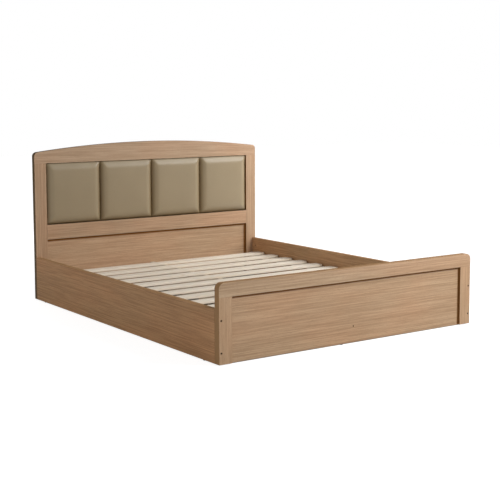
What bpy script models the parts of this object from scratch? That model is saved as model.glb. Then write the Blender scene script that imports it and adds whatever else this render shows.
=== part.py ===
"""Double bed frame: headboard with four pads, footboard, side rails and a slatted base.

Metres, +Z up. The foot end faces -Y, the head end +Y, and the floor is at Z = 0 under the
bed's middle. Sizes marked "above the boards' underside" are counted from the lower edge of
the boards, which stand a glide's height above the floor.
"""
import math

import bmesh
import bpy
from mathutils import Vector

# Whole bed
bed_width = 1.580
bed_length = 1.986
glide_height = 0.004
fit_gap = 0.0003
cut_overrun = 0.010
edge_round = 0.0012
edge_round_segments = 2
weld_distance = 0.00005
sharp_angle = math.radians(30)
flat_angle = math.radians(0.5)
right_angle = math.radians(90)
half_turn = math.radians(180)
level_share = 0.5

# Headboard, heights above the boards' underside
headboard_thickness = 0.031
headboard_shoulder_height = 0.8666
headboard_arch_rise = 0.0483
headboard_arch_segments = 24
headboard_corner_radius = 0.026
corner_segments = 10
stile_width = 0.074
head_top_rail_height = 0.064
pad_opening_height = 0.3655
mid_rail_height = 0.0875
head_panel_recess = 0.012
head_panel_thickness = 0.009
panel_groove_depth = 0.008

# Pads in the headboard
pad_count = 4
pad_gap = 0.003
pad_board_thickness = 0.009
back_board_thickness = 0.005
back_board_rebate = 0.008
pad_side_depth = 0.0100
pad_crown_depth = 0.0295
pad_drawn_in = 0.0025
pad_cage_shares = (-1.0, -0.74, 0.74, 1.0)
pad_smooth_levels = 2

# Footboard
footboard_thickness = 0.036
footboard_height = 0.3708
footboard_corner_radius = 0.028
foot_top_rail_height = 0.0660
post_width = 0.0715
foot_panel_recess = 0.011
foot_panel_thickness = 0.018

# Side rails and what they carry
side_rail_height = 0.2495
side_rail_thickness = 0.025
ledge_width = 0.030
ledge_height = 0.030
centre_board_thickness = 0.025

# Slats
slat_count = 12
slat_top_height = 0.1665
slat_thickness = 0.013
slat_width = 0.068
slat_end_clearance = 0.010
slat_end_gap = 0.0933
slat_corner_radius = 0.012
slat_edge_round = 0.002
slat_corner_segments = 3
slat_edge_segments = 1

# Bolts and barrel nuts that join the rails to the end boards
bolt_low_height = 0.053
bolt_high_height = 0.201
bolt_sink = 0.0015
bolt_head_radius = 0.0048
bolt_head_length = 0.004
bolt_shank_radius = 0.003
bolt_grip_length = 0.060
bolt_end_length = 0.009
bolt_socket_radius = 0.0028
bolt_socket_depth = 0.0026
round_segments = 16
hole_segments = 12
socket_sides = 6
nut_radius = 0.005
nut_length = 0.014
nut_slot_width = 0.0012
nut_slot_depth = 0.0014

# Screws through the two panels into the centre board
screw_height = 0.080
screw_sink = 0.0010
screw_head_radius = 0.0040
screw_head_length = 0.0030
screw_shank_radius = 0.0025
screw_length = 0.055

# Glides
glide_top_radius = 0.010
glide_foot_radius = 0.0085
rail_glide_end_distance = 0.100
footboard_glide_offset = 0.070
centre_glide_spread = 0.640

# Places worked out from the sizes above
board_base = glide_height
half_width = bed_width / 2
half_length = bed_length / 2
foot_front = -half_length
foot_back = foot_front + footboard_thickness
head_back = half_length
head_front = head_back - headboard_thickness
rail_inner = half_width - side_rail_thickness
slat_top = board_base + slat_top_height
slat_underside = slat_top - slat_thickness
support_top = slat_underside - fit_gap
opening_top = board_base + headboard_shoulder_height - head_top_rail_height
opening_base = opening_top - pad_opening_height
mid_rail_base = opening_base - mid_rail_height
opening_half_width = half_width - stile_width
foot_rail_base = board_base + footboard_height - foot_top_rail_height
foot_opening_half_width = half_width - post_width
foot_panel_front = foot_front + foot_panel_recess
foot_panel_back = foot_panel_front + foot_panel_thickness
head_panel_front = head_front + head_panel_recess
head_panel_back = head_panel_front + head_panel_thickness
back_board_front = head_back - back_board_thickness
pad_board_back = back_board_front - fit_gap
pad_board_front = pad_board_back - pad_board_thickness
pad_back = pad_board_front - fit_gap
bolt_line = half_width - side_rail_thickness / 2


def clear_scene():
    for thing in list(bpy.data.objects):
        bpy.data.objects.remove(thing, do_unlink=True)


def new_collection(name):
    collection = bpy.data.collections.new(name)
    bpy.context.scene.collection.children.link(collection)
    return collection


def make_material(name, colour, roughness, metallic=0.0):
    material = bpy.data.materials.new(name)
    material.use_nodes = True
    shader = material.node_tree.nodes["Principled BSDF"]
    shader.inputs["Base Color"].default_value = (*colour, 1.0)
    shader.inputs["Roughness"].default_value = roughness
    shader.inputs["Metallic"].default_value = metallic
    return material


def board_material():
    return make_material("oak_laminate", (0.434, 0.287, 0.175), 0.5)


def pad_material():
    return make_material("olive_leatherette", (0.266, 0.209, 0.127), 0.45)


def slat_material():
    return make_material("pale_pine", (0.640, 0.552, 0.434), 0.7)


def plywood_material():
    return make_material("plywood", (0.470, 0.350, 0.220), 0.8)


def steel_material():
    return make_material("dark_zinc_steel", (0.150, 0.140, 0.130), 0.4, 1.0)


def glide_material():
    return make_material("black_glide", (0.020, 0.020, 0.020), 0.5)


def mesh_from(build, name):
    """A mesh made by the function build, which fills a bmesh."""
    form = bmesh.new()
    build(form)
    mesh = bpy.data.meshes.new(name)
    form.to_mesh(mesh)
    form.free()
    return mesh


def place(name, mesh, location, rotation=(0.0, 0.0, 0.0)):
    thing = bpy.data.objects.new(name, mesh)
    bed_parts.objects.link(thing)
    thing.location = location
    thing.rotation_euler = rotation
    return thing


def box_mesh(name, size):
    def build(form):
        bmesh.ops.create_cube(form, size=1.0)
        bmesh.ops.scale(form, vec=size, verts=form.verts)
    return mesh_from(build, name)


def middle_and_size(low, high):
    low = Vector(low)
    high = Vector(high)
    return (low + high) / 2, high - low


def weigh_edges(thing, joint_sides=()):
    """Mark every sharp edge for rounding, except on a side that butts against a board."""
    form = bmesh.new()
    form.from_mesh(thing.data)
    form.normal_update()
    turn = thing.rotation_euler.to_matrix()
    weights = form.edges.layers.float.new("bevel_weight_edge")
    for edge in form.edges:
        is_sharp = edge.calc_face_angle(0.0) > sharp_angle
        meets_joint = any((turn @ face.normal).dot(Vector(side)) > 1.0 - level_share
                          for face in edge.link_faces for side in joint_sides)
        edge[weights] = float(is_sharp and not meets_joint)
    form.to_mesh(thing.data)
    form.free()


def soften(thing, width=edge_round, segments=edge_round_segments):
    rounding = thing.modifiers.new("soft_edges", "BEVEL")
    rounding.width = width
    rounding.segments = segments
    rounding.limit_method = "WEIGHT"


def board(name, low, high, material, joint_sides=()):
    middle, size = middle_and_size(low, high)
    mesh = box_mesh(name, size)
    mesh.materials.append(material)
    thing = place(name, mesh, middle)
    weigh_edges(thing, joint_sides)
    soften(thing)
    return thing


def cutter_box(name, low, high):
    middle, size = middle_and_size(low, high)
    thing = bpy.data.objects.new(name, box_mesh(name, size))
    thing.location = middle
    return keep_as_cutter(thing)


def cutter_round(name, radius, start, end, axis):
    """A round cutter along world X or Y, from start to end."""
    start = Vector(start)
    end = Vector(end)

    def build(form):
        bmesh.ops.create_cone(form, cap_ends=True, segments=hole_segments,
                              radius1=radius, radius2=radius, depth=(end - start).length)
    thing = bpy.data.objects.new(name, mesh_from(build, name))
    thing.location = (start + end) / 2
    thing.rotation_euler = (right_angle, 0.0, 0.0) if axis == "Y" else (0.0, right_angle, 0.0)
    return keep_as_cutter(thing)


def keep_as_cutter(thing):
    cutters.objects.link(thing)
    thing.hide_render = True
    thing.display_type = "WIRE"
    return thing


def cut(thing, cutter):
    change = thing.modifiers.new("cut_" + cutter.name, "BOOLEAN")
    change.operation = "DIFFERENCE"
    change.solver = "EXACT"
    change.object = cutter


def frozen_mesh(thing, name):
    """The evaluated shape of an object as a welded mesh of its own; the object goes."""
    bpy.context.view_layer.update()
    depsgraph = bpy.context.evaluated_depsgraph_get()
    mesh = bpy.data.meshes.new_from_object(thing.evaluated_get(depsgraph))
    mesh.name = name
    form = bmesh.new()
    form.from_mesh(mesh)
    bmesh.ops.remove_doubles(form, verts=form.verts, dist=weld_distance)
    bmesh.ops.dissolve_limit(form, angle_limit=flat_angle, verts=form.verts, edges=form.edges)
    form.to_mesh(mesh)
    form.free()
    bpy.data.objects.remove(thing, do_unlink=True)
    return mesh


def arc_points(centre, radius, start, end, segments):
    """Points on an arc in the plane of a flat outline, both ends included."""
    angles = [start + (end - start) * step / segments for step in range(segments + 1)]
    return [(centre[0] + radius * math.cos(angle), centre[1] + radius * math.sin(angle))
            for angle in angles]


def upright_board(name, outline, thickness, middle_y, material, joint_sides=()):
    """A board cut from a flat outline in X and Z and stood upright."""
    curve = bpy.data.curves.new(name, "CURVE")
    curve.dimensions = "2D"
    curve.fill_mode = "BOTH"
    curve.extrude = thickness / 2
    spline = curve.splines.new("POLY")
    spline.points.add(len(outline) - 1)
    for point, (x, z) in zip(spline.points, outline):
        point.co = (x, z, 0.0, 1.0)
    spline.use_cyclic_u = True
    sketch = bpy.data.objects.new(name, curve)
    bed_parts.objects.link(sketch)
    mesh = frozen_mesh(sketch, name)
    mesh.materials.append(material)
    bpy.data.curves.remove(curve)
    thing = place(name, mesh, (0.0, middle_y, 0.0), (right_angle, 0.0, 0.0))
    weigh_edges(thing, joint_sides)
    soften(thing)
    return thing


def rounded_top_outline(base, shoulder, rise, radius, arch_segments):
    """A board outline with a straight base, rounded upper corners and an arched or level top."""
    if rise > 0.0:
        arch_radius = (half_width ** 2 + rise ** 2) / (2 * rise)
        arch_centre = shoulder + rise - arch_radius
        corner_x = half_width - radius
        reach = arch_radius - radius
        corner_z = arch_centre + math.sqrt(reach ** 2 - corner_x ** 2)
        lean = math.atan2(corner_x, corner_z - arch_centre)
    else:
        corner_x = half_width - radius
        corner_z = shoulder - radius
        lean = 0.0
    right = arc_points((corner_x, corner_z), radius, 0.0, right_angle - lean, corner_segments)
    left = arc_points((-corner_x, corner_z), radius, right_angle + lean, half_turn, corner_segments)
    points = [(half_width, base)] + right
    if rise > 0.0:
        points += arc_points((0.0, arch_centre), arch_radius, right_angle - lean,
                             right_angle + lean, arch_segments)[1:-1]
    return points + left + [(-half_width, base)]


def groove_cutter(name, low, high):
    """A cutter for a panel's groove: the panel's box with a fit gap on every side."""
    grow = Vector((fit_gap, fit_gap, fit_gap))
    return cutter_box(name, Vector(low) - grow, Vector(high) + grow)


def make_headboard(wood, plywood):
    top = upright_board(
        "headboard_top_rail",
        rounded_top_outline(opening_top, board_base + headboard_shoulder_height,
                            headboard_arch_rise, headboard_corner_radius, headboard_arch_segments),
        headboard_thickness, (head_front + head_back) / 2, wood, joint_sides=((0, 0, -1),))
    stiles = []
    for side, word in ((-1, "left"), (1, "right")):
        outer = side * half_width
        inner = side * opening_half_width
        stiles.append(board(f"headboard_{word}_stile",
                            (min(outer, inner), head_front, board_base),
                            (max(outer, inner), head_back, opening_top - fit_gap),
                            wood, joint_sides=((0, 0, 1),)))
    mid = board("headboard_mid_rail",
                (-opening_half_width + fit_gap, head_front, mid_rail_base),
                (opening_half_width - fit_gap, head_back, opening_base),
                wood, joint_sides=((-1, 0, 0), (1, 0, 0)))
    panel_low = (-opening_half_width - panel_groove_depth, head_panel_front, board_base)
    panel_high = (opening_half_width + panel_groove_depth, head_panel_back,
                  mid_rail_base + panel_groove_depth)
    panel = board("headboard_lower_panel", panel_low, panel_high, wood)
    panel_room = groove_cutter("headboard_panel_groove",
                               (panel_low[0], panel_low[1], panel_low[2] - cut_overrun), panel_high)
    back_low = (-opening_half_width - back_board_rebate, back_board_front,
                opening_base - back_board_rebate)
    back_high = (opening_half_width + back_board_rebate, head_back, opening_top + back_board_rebate)
    board("headboard_back_board", back_low, back_high, plywood)
    back_room = groove_cutter("headboard_back_rebate", back_low,
                              (back_high[0], back_high[1] + cut_overrun, back_high[2]))
    for thing in stiles + [mid]:
        cut(thing, panel_room)
    for thing in stiles + [mid, top]:
        cut(thing, back_room)
    return stiles, panel


def pad_cage(form, half_pad_width, half_pad_height):
    """A coarse cage: crowned front, sides drawn in between the corners, creased flat back."""
    steps = len(pad_cage_shares) - 1
    bmesh.ops.create_grid(form, x_segments=steps, y_segments=steps, size=1.0)
    shares = sorted({round(vertex.co.x, 6) for vertex in form.verts})
    spread = dict(zip(shares, pad_cage_shares))
    for vertex in form.verts:
        across = spread[round(vertex.co.x, 6)]
        up = spread[round(vertex.co.y, 6)]
        on_side = abs(across) == 1.0
        on_end = abs(up) == 1.0
        pull_x = pad_drawn_in * across if on_side and not on_end else 0.0
        pull_z = pad_drawn_in * up if on_end and not on_side else 0.0
        depth = pad_side_depth if on_side or on_end else pad_crown_depth
        vertex.co = (across * half_pad_width - pull_x, -depth, up * half_pad_height - pull_z)
    front = list(form.faces)
    grown = bmesh.ops.extrude_face_region(form, geom=front, use_keep_orig=True)
    back_verts = [item for item in grown["geom"] if isinstance(item, bmesh.types.BMVert)]
    for vertex in back_verts:
        vertex.co.y = 0.0
    bmesh.ops.recalc_face_normals(form, faces=form.faces)
    crease = form.edges.layers.float.new("crease_edge")
    back_set = set(back_verts)
    for edge in form.edges:
        touches_side = any(vertex not in back_set for face in edge.link_faces for vertex in face.verts)
        edge[crease] = float(all(vertex in back_set for vertex in edge.verts) and touches_side)


def make_pads(leather, plywood):
    pitch = 2 * opening_half_width / pad_count
    half_pad_width = (pitch - pad_gap) / 2
    half_pad_height = (pad_opening_height - pad_gap) / 2
    middle_z = (opening_base + opening_top) / 2
    mesh = mesh_from(lambda form: pad_cage(form, half_pad_width, half_pad_height), "pad")
    mesh.materials.append(leather)
    for number in range(pad_count):
        middle_x = -opening_half_width + pitch * (number + level_share)
        board(f"pad_board_{number + 1}",
              (middle_x - half_pad_width, pad_board_front, middle_z - half_pad_height),
              (middle_x + half_pad_width, pad_board_back, middle_z + half_pad_height), plywood)
        pad = place(f"headboard_pad_{number + 1}", mesh, (middle_x, pad_back, middle_z))
        smooth = pad.modifiers.new("smooth_form", "SUBSURF")
        smooth.levels = pad_smooth_levels
        smooth.render_levels = pad_smooth_levels
    mesh.shade_smooth()


def make_footboard(wood):
    top = upright_board(
        "footboard_top_rail",
        rounded_top_outline(foot_rail_base, board_base + footboard_height, 0.0,
                            footboard_corner_radius, 1),
        footboard_thickness, (foot_front + foot_back) / 2, wood, joint_sides=((0, 0, -1),))
    posts = []
    for side, word in ((-1, "left"), (1, "right")):
        outer = side * half_width
        inner = side * foot_opening_half_width
        posts.append(board(f"footboard_{word}_post",
                           (min(outer, inner), foot_front, board_base),
                           (max(outer, inner), foot_back, foot_rail_base - fit_gap),
                           wood, joint_sides=((0, 0, 1),)))
    panel_low = (-foot_opening_half_width - panel_groove_depth, foot_panel_front, board_base)
    panel_high = (foot_opening_half_width + panel_groove_depth, foot_panel_back,
                  foot_rail_base + panel_groove_depth)
    panel = board("footboard_panel", panel_low, panel_high, wood)
    room = groove_cutter("footboard_panel_groove",
                         (panel_low[0], panel_low[1], panel_low[2] - cut_overrun), panel_high)
    for thing in posts + [top]:
        cut(thing, room)
    return posts, panel


def make_side_rails(wood, pine):
    rails = []
    for side, word in ((-1, "left"), (1, "right")):
        outer = side * half_width
        inner = side * rail_inner
        rails.append(board(f"{word}_side_rail",
                           (min(outer, inner), foot_back + fit_gap, board_base),
                           (max(outer, inner), head_front - fit_gap, board_base + side_rail_height),
                           wood, joint_sides=((0, -1, 0), (0, 1, 0))))
        ledge_outer = side * (rail_inner - fit_gap)
        ledge_inner = side * (rail_inner - fit_gap - ledge_width)
        board(f"{word}_slat_ledge",
              (min(ledge_outer, ledge_inner), foot_back + fit_gap, support_top - ledge_height),
              (max(ledge_outer, ledge_inner), head_front - fit_gap, support_top), pine)
    return rails


def make_centre_board(pine):
    return board("centre_support_board",
                 (-centre_board_thickness / 2, foot_panel_back + fit_gap, board_base),
                 (centre_board_thickness / 2, head_panel_front - fit_gap, support_top), pine)


def slat_mesh():
    length = 2 * (rail_inner - slat_end_clearance)

    def build(form):
        bmesh.ops.create_cube(form, size=1.0)
        bmesh.ops.scale(form, vec=(length, slat_width, slat_thickness), verts=form.verts)
        upright = [edge for edge in form.edges
                   if edge.verts[0].co.z * edge.verts[1].co.z < 0.0]
        bmesh.ops.bevel(form, geom=upright, offset=slat_corner_radius,
                        segments=slat_corner_segments, profile=0.5, affect="EDGES", material=-1)
    return mesh_from(build, "slat")


def make_slats(pine):
    clear_length = head_front - foot_back
    pitch = (clear_length - slat_width - 2 * slat_end_gap) / (slat_count - 1)
    first = foot_back + slat_end_gap + slat_width / 2
    mesh = slat_mesh()
    mesh.materials.append(pine)
    for number in range(slat_count):
        slat = place(f"slat_{number + 1:02d}", mesh,
                     (0.0, first + pitch * number, slat_top - slat_thickness / 2))
        if number == 0:
            weigh_edges(slat)
        soften(slat, slat_edge_round, slat_edge_segments)


def turned_mesh(name, profile, socket_depth, socket_radius):
    """A screw or bolt along -Z with its head's face at Z = 0 and a socket in it."""
    line = bpy.data.meshes.new(name + "_profile")
    edges = [(step, step + 1) for step in range(len(profile) - 1)]
    line.from_pydata([(radius, 0.0, height) for radius, height in profile], edges, [])
    thing = bpy.data.objects.new(name, line)
    bed_parts.objects.link(thing)
    turn = thing.modifiers.new("turned", "SCREW")
    turn.steps = round_segments
    turn.render_steps = round_segments
    turn.use_merge_vertices = True
    turn.merge_threshold = weld_distance
    turn.use_smooth_shade = True

    def build(form):
        bmesh.ops.create_cone(form, cap_ends=True, segments=socket_sides, radius1=socket_radius,
                              radius2=socket_radius, depth=2 * socket_depth)
    socket = keep_as_cutter(bpy.data.objects.new(name + "_socket", mesh_from(build, name)))
    cut(thing, socket)
    mesh = frozen_mesh(thing, name)
    mesh.set_sharp_from_angle(angle=sharp_angle)
    return mesh


def bolt_profile(head_radius, head_length, shank_radius, length):
    return [(0.0, 0.0), (head_radius, 0.0), (head_radius, -head_length),
            (shank_radius, -head_length), (shank_radius, -head_length - length),
            (0.0, -head_length - length)]


def nut_mesh():
    def build(form):
        bmesh.ops.create_cone(form, cap_ends=True, segments=hole_segments,
                              radius1=nut_radius, radius2=nut_radius, depth=nut_length)
    thing = bpy.data.objects.new("barrel_nut", mesh_from(build, "barrel_nut"))
    bed_parts.objects.link(thing)
    thread_end = nut_radius + cut_overrun
    cut(thing, cutter_round("nut_thread", bolt_shank_radius + fit_gap,
                            (0.0, -thread_end, 0.0), (0.0, thread_end, 0.0), "Y"))
    slot_top = nut_length / 2
    cut(thing, cutter_box("nut_slot",
                          (-thread_end, -nut_slot_width / 2, slot_top - nut_slot_depth),
                          (thread_end, nut_slot_width / 2, slot_top + cut_overrun)))
    mesh = frozen_mesh(thing, "barrel_nut")
    mesh.shade_smooth()
    mesh.set_sharp_from_angle(angle=sharp_angle)
    return mesh


def drill_for_bolt(thing, name, x, z, face_y, inward):
    """Counterbore and clearance hole for a bolt whose head sinks into the face at face_y."""
    head_end = face_y + inward * (bolt_sink + bolt_head_length + fit_gap)
    outside = face_y - inward * cut_overrun
    tip = bolt_sink + bolt_head_length + bolt_grip_length + bolt_end_length + fit_gap
    cut(thing, cutter_round(name + "_head_room", bolt_head_radius + fit_gap,
                            (x, outside, z), (x, head_end, z), "Y"))
    cut(thing, cutter_round(name + "_hole", bolt_shank_radius + fit_gap,
                            (x, outside, z), (x, face_y + inward * tip, z), "Y"))


def drill_rail(rail, name, side, z, nut_y, face_y, inward):
    """Bolt hole in a rail's end and the cross hole for the barrel nut, from the inner face."""
    x = side * bolt_line
    tip = bolt_sink + bolt_head_length + bolt_grip_length + bolt_end_length + fit_gap
    cut(rail, cutter_round(name + "_rail_hole", bolt_shank_radius + fit_gap,
                           (x, face_y, z), (x, face_y + inward * tip, z), "Y"))
    far = bolt_line + nut_length / 2 + fit_gap
    near = rail_inner - cut_overrun
    cut(rail, cutter_round(name + "_nut_room", nut_radius + fit_gap,
                           (side * min(near, far), nut_y, z), (side * max(near, far), nut_y, z), "X"))


def make_rail_bolts(stiles, posts, rails, steel):
    bolt = turned_mesh("rail_bolt",
                       bolt_profile(bolt_head_radius, bolt_head_length, bolt_shank_radius,
                                    bolt_grip_length + bolt_end_length),
                       bolt_socket_depth, bolt_socket_radius)
    nut = nut_mesh()
    bolt.materials.append(steel)
    nut.materials.append(steel)
    ends = (("foot", foot_front, 1, posts), ("head", head_back, -1, stiles))
    heights = (("low", board_base + bolt_low_height), ("high", board_base + bolt_high_height))
    for end, face_y, inward, uprights in ends:
        nut_y = face_y + inward * (bolt_sink + bolt_head_length + bolt_grip_length)
        for side, word, upright, rail in ((-1, "left", uprights[0], rails[0]),
                                          (1, "right", uprights[1], rails[1])):
            for level, z in heights:
                label = f"{end}_{word}_{level}"
                x = side * bolt_line
                place("bolt_" + label, bolt, (x, face_y + inward * bolt_sink, z),
                      (inward * right_angle, 0.0, 0.0))
                place("barrel_nut_" + label, nut, (x, nut_y, z),
                      (0.0, -side * right_angle, 0.0))
                drill_for_bolt(upright, label, x, z, face_y, inward)
                drill_rail(rail, label, side, z, nut_y, face_y, inward)


def make_centre_screws(foot_panel, head_panel, centre_board, steel):
    screw = turned_mesh("centre_screw",
                        bolt_profile(screw_head_radius, screw_head_length, screw_shank_radius,
                                     screw_length),
                        screw_head_length / 2, screw_shank_radius * level_share)
    screw.materials.append(steel)
    z = board_base + screw_height
    for end, face_y, inward, panel in (("foot", foot_panel_front, 1, foot_panel),
                                       ("head", head_panel_back, -1, head_panel)):
        place(f"centre_screw_{end}", screw, (0.0, face_y + inward * screw_sink, z),
              (inward * right_angle, 0.0, 0.0))
        head_end = face_y + inward * (screw_sink + screw_head_length + fit_gap)
        outside = face_y - inward * cut_overrun
        tip = face_y + inward * (screw_sink + screw_head_length + screw_length + fit_gap)
        hole = cutter_round(end + "_centre_hole", screw_shank_radius + fit_gap,
                            (0.0, outside, z), (0.0, tip, z), "Y")
        cut(panel, cutter_round(end + "_centre_head_room", screw_head_radius + fit_gap,
                                (0.0, outside, z), (0.0, head_end, z), "Y"))
        cut(panel, hole)
        cut(centre_board, hole)


def make_glides(black):
    height = glide_height - fit_gap

    def build(form):
        bmesh.ops.create_cone(form, cap_ends=True, segments=round_segments,
                              radius1=glide_foot_radius, radius2=glide_top_radius, depth=height)
    mesh = mesh_from(build, "glide")
    mesh.materials.append(black)
    mesh.shade_smooth()
    mesh.set_sharp_from_angle(angle=sharp_angle)
    rail_ends = (("foot", foot_back + rail_glide_end_distance),
                 ("head", head_front - rail_glide_end_distance))
    places = [(f"glide_{word}_rail_{end}", side * bolt_line, y)
              for side, word in ((-1, "left"), (1, "right")) for end, y in rail_ends]
    places.append(("glide_footboard", -footboard_glide_offset,
                   (foot_panel_front + foot_panel_back) / 2))
    places.append(("glide_centre_foot", 0.0, -centre_glide_spread / 2))
    places.append(("glide_centre_head", 0.0, centre_glide_spread / 2))
    for name, x, y in places:
        place(name, mesh, (x, y, height / 2))


clear_scene()
bed_parts = new_collection("double_bed_frame")
cutters = new_collection("cutters")


def main():
    wood = board_material()
    pine = slat_material()
    plywood = plywood_material()
    steel = steel_material()
    stiles, head_panel = make_headboard(wood, plywood)
    make_pads(pad_material(), plywood)
    posts, foot_panel = make_footboard(wood)
    rails = make_side_rails(wood, pine)
    centre = make_centre_board(pine)
    make_slats(pine)
    make_rail_bolts(stiles, posts, rails, steel)
    make_centre_screws(foot_panel, head_panel, centre, steel)
    make_glides(glide_material())
    bpy.context.view_layer.update()


main()
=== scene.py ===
import math

import bmesh
import bpy
from bpy.props import FloatProperty, FloatVectorProperty, IntProperty, PointerProperty
from bpy.types import Operator, Panel, PropertyGroup
from mathutils import Matrix, Vector, noise


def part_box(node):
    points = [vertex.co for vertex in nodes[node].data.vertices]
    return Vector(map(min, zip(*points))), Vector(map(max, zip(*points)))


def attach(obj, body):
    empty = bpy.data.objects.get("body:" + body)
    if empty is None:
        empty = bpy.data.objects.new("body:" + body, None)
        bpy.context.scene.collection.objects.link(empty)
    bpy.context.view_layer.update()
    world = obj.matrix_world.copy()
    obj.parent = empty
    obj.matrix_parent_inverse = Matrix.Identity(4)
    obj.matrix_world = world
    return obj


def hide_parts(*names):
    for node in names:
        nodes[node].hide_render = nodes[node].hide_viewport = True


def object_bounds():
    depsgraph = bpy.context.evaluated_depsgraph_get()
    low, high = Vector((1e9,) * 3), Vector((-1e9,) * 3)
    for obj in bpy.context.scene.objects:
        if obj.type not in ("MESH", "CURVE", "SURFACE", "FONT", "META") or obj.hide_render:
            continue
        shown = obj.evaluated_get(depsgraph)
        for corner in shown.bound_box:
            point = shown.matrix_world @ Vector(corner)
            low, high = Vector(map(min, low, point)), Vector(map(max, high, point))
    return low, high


bl_info = {
    "name": "Double bed frame",
    "version": (1, 0, 0),
    "blender": (4, 5, 0),
    "location": "3D View > Sidebar > Bed",
    "description": "Wood, leatherette pads and a studio stage for a double bed frame",
    "category": "Object",
}

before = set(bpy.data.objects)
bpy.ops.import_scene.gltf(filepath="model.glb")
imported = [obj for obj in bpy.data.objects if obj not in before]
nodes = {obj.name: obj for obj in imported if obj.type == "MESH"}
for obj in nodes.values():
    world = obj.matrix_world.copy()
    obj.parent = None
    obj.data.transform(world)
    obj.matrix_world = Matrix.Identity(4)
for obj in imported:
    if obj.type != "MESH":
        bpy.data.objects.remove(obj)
cad_box = [list(corner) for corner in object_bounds()]

PAD_NAMES = sorted(name for name in nodes if name.startswith("headboard_pad_"))
SLAT_NAMES = sorted(name for name in nodes if name.startswith("slat_"))
PAD_BOARD_NAMES = sorted(name for name in nodes if name.startswith("pad_board_"))
STEEL_NAMES = sorted(name for name in nodes if name.startswith(("bolt_", "barrel_nut_", "centre_screw_")))
GLIDE_NAMES = sorted(name for name in nodes if name.startswith("glide_"))

# Length and width of the marks in each finish, in metres
OAK_PORE = (0.022, 0.0009)
OAK_PATCH = (0.60, 0.22)
PINE_LINE = (0.55, 0.0085)
PINE_FIBRE = (0.06, 0.0012)
PINE_PATCH = (0.35, 0.06)
PINE_KNOT_SPACING = (0.30, 0.11)
PINE_RING = (1.0, 0.004)
PLY_FIGURE = (0.45, 0.05)
PLY_FIBRE = (0.05, 0.0011)
PLY_LAYER = (9.0, 0.0016)
LEATHER_PEBBLE = (0.0016, 0.0016)
LEATHER_CREASE = (0.004, 0.004)
LEATHER_CLOUD = (0.16, 0.16)
STEEL_BRUSH = (0.02, 0.0006)
STEEL_STAIN = (0.02, 0.01)
GLIDE_GRAIN = (0.0006, 0.0006)
GLIDE_SCUFF = (0.006, 0.0012)

# How the marks are spread and mixed
WHITE = (1.0, 1.0, 1.0)
STREAK_ROUGHNESS = 0.55
PATTERN_SPREAD = 7.3  # in a pattern's own units, how far apart the boards' places in it lie
PATTERN_STEPS = ((89, 11), (57, 7), (31, 5))  # along X, Y and Z: how many places, and the spread's parts
WIDE_TIMES = (2.5, 6.0)  # how much longer and broader the widest oak streaks are than the usual ones
FINE_PARTS = (3.5, 3.0)  # how much shorter and narrower the finest ones are
FIGURE_MIDDLE = 0.575  # of the grain's values, between the dark and the light wood
FIGURE_REACH = 0.245
OAK_COOL = (0.97, 1.00, 1.01)
OAK_WARM = (1.03, 0.99, 0.97)
OAK_SHINE = 0.30
BAND_DIM = (0.86, 0.86, 0.86)
BAND_BRIGHT = (1.10, 1.10, 1.10)
PAINTED_SHADOW_EDGE_SHARES = (0.6, 1.3)  # of the width of a recessed panel's painted shadow line, where it fades out
CLOUD_DIM = (0.95, 0.955, 0.96)
CLOUD_BRIGHT = (1.05, 1.045, 1.04)
LEATHER_SHINE = 0.62

# How a pad is made
PAD_STEPS = 64  # grid steps across it before it is remeshed
PAD_SWAY_STEP = 0.37  # from one pad to the next, in the pattern of slow swells
HELD_DEPTH_SHARE = 0.6  # of a remeshed face, from the back, within which the cloth is held
BEND_SHARE = 0.25  # stiffness against bending, of that against stretching

# Soft lights: compass in degrees from +X towards the foot end, height in degrees, distance and size in metres
LAMP_AIM = (0.0, 0.0, 0.35)
SHINE_LAMP = "sheen_light"
LAMPS = (
    ("key_light", 59, 34, 4.0, 1.2, "key"),
    ("side_light", -12, 22, 2.2, 0.8, "side"),
    ("low_light", 110, 18, 2.9, 0.8, "low"),
    ("fill_light", 185, 30, 6.0, 3.0, "fill"),
    ("back_light", -100, 18, 4.5, 2.0, "back"),
    (SHINE_LAMP, 35, 34, 4.8, 1.3, "sheen"),
)

# The photograph's camera in metres, radians and pixels, worked out from the bed's own straight edges
CAMERA_PLACE = (-3.4332, -5.0135, 1.2123)
CAMERA_YAW = 0.6057
CAMERA_PITCH = 0.1056
CAMERA_ROLL = 0.0028
PHOTO_PIXELS = 500.0
PHOTO_CENTRE = (244.76, 210.0)
FOCAL_PIXELS = 1099.82
SENSOR_MM = 36.0


def colour(name, default, words):
    return FloatVectorProperty(name=name, description=words, subtype="COLOR", size=3,
                               min=0.0, max=1.0, default=default)


def tone(name, default, words):
    """Colour that multiplies another one; it may brighten."""
    return FloatVectorProperty(name=name, description=words, size=3, min=0.0, max=2.0, default=default)


def length(name, default, words):
    return FloatProperty(name=name, description=words, subtype="DISTANCE", unit="LENGTH",
                         min=0.0, default=default)


def share(name, default, words):
    return FloatProperty(name=name, description=words, subtype="FACTOR",
                         min=0.0, max=1.0, default=default)


def power(name, default, words):
    return FloatProperty(name=name, description=words, subtype="POWER", unit="POWER",
                         min=0.0, default=default)


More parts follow.
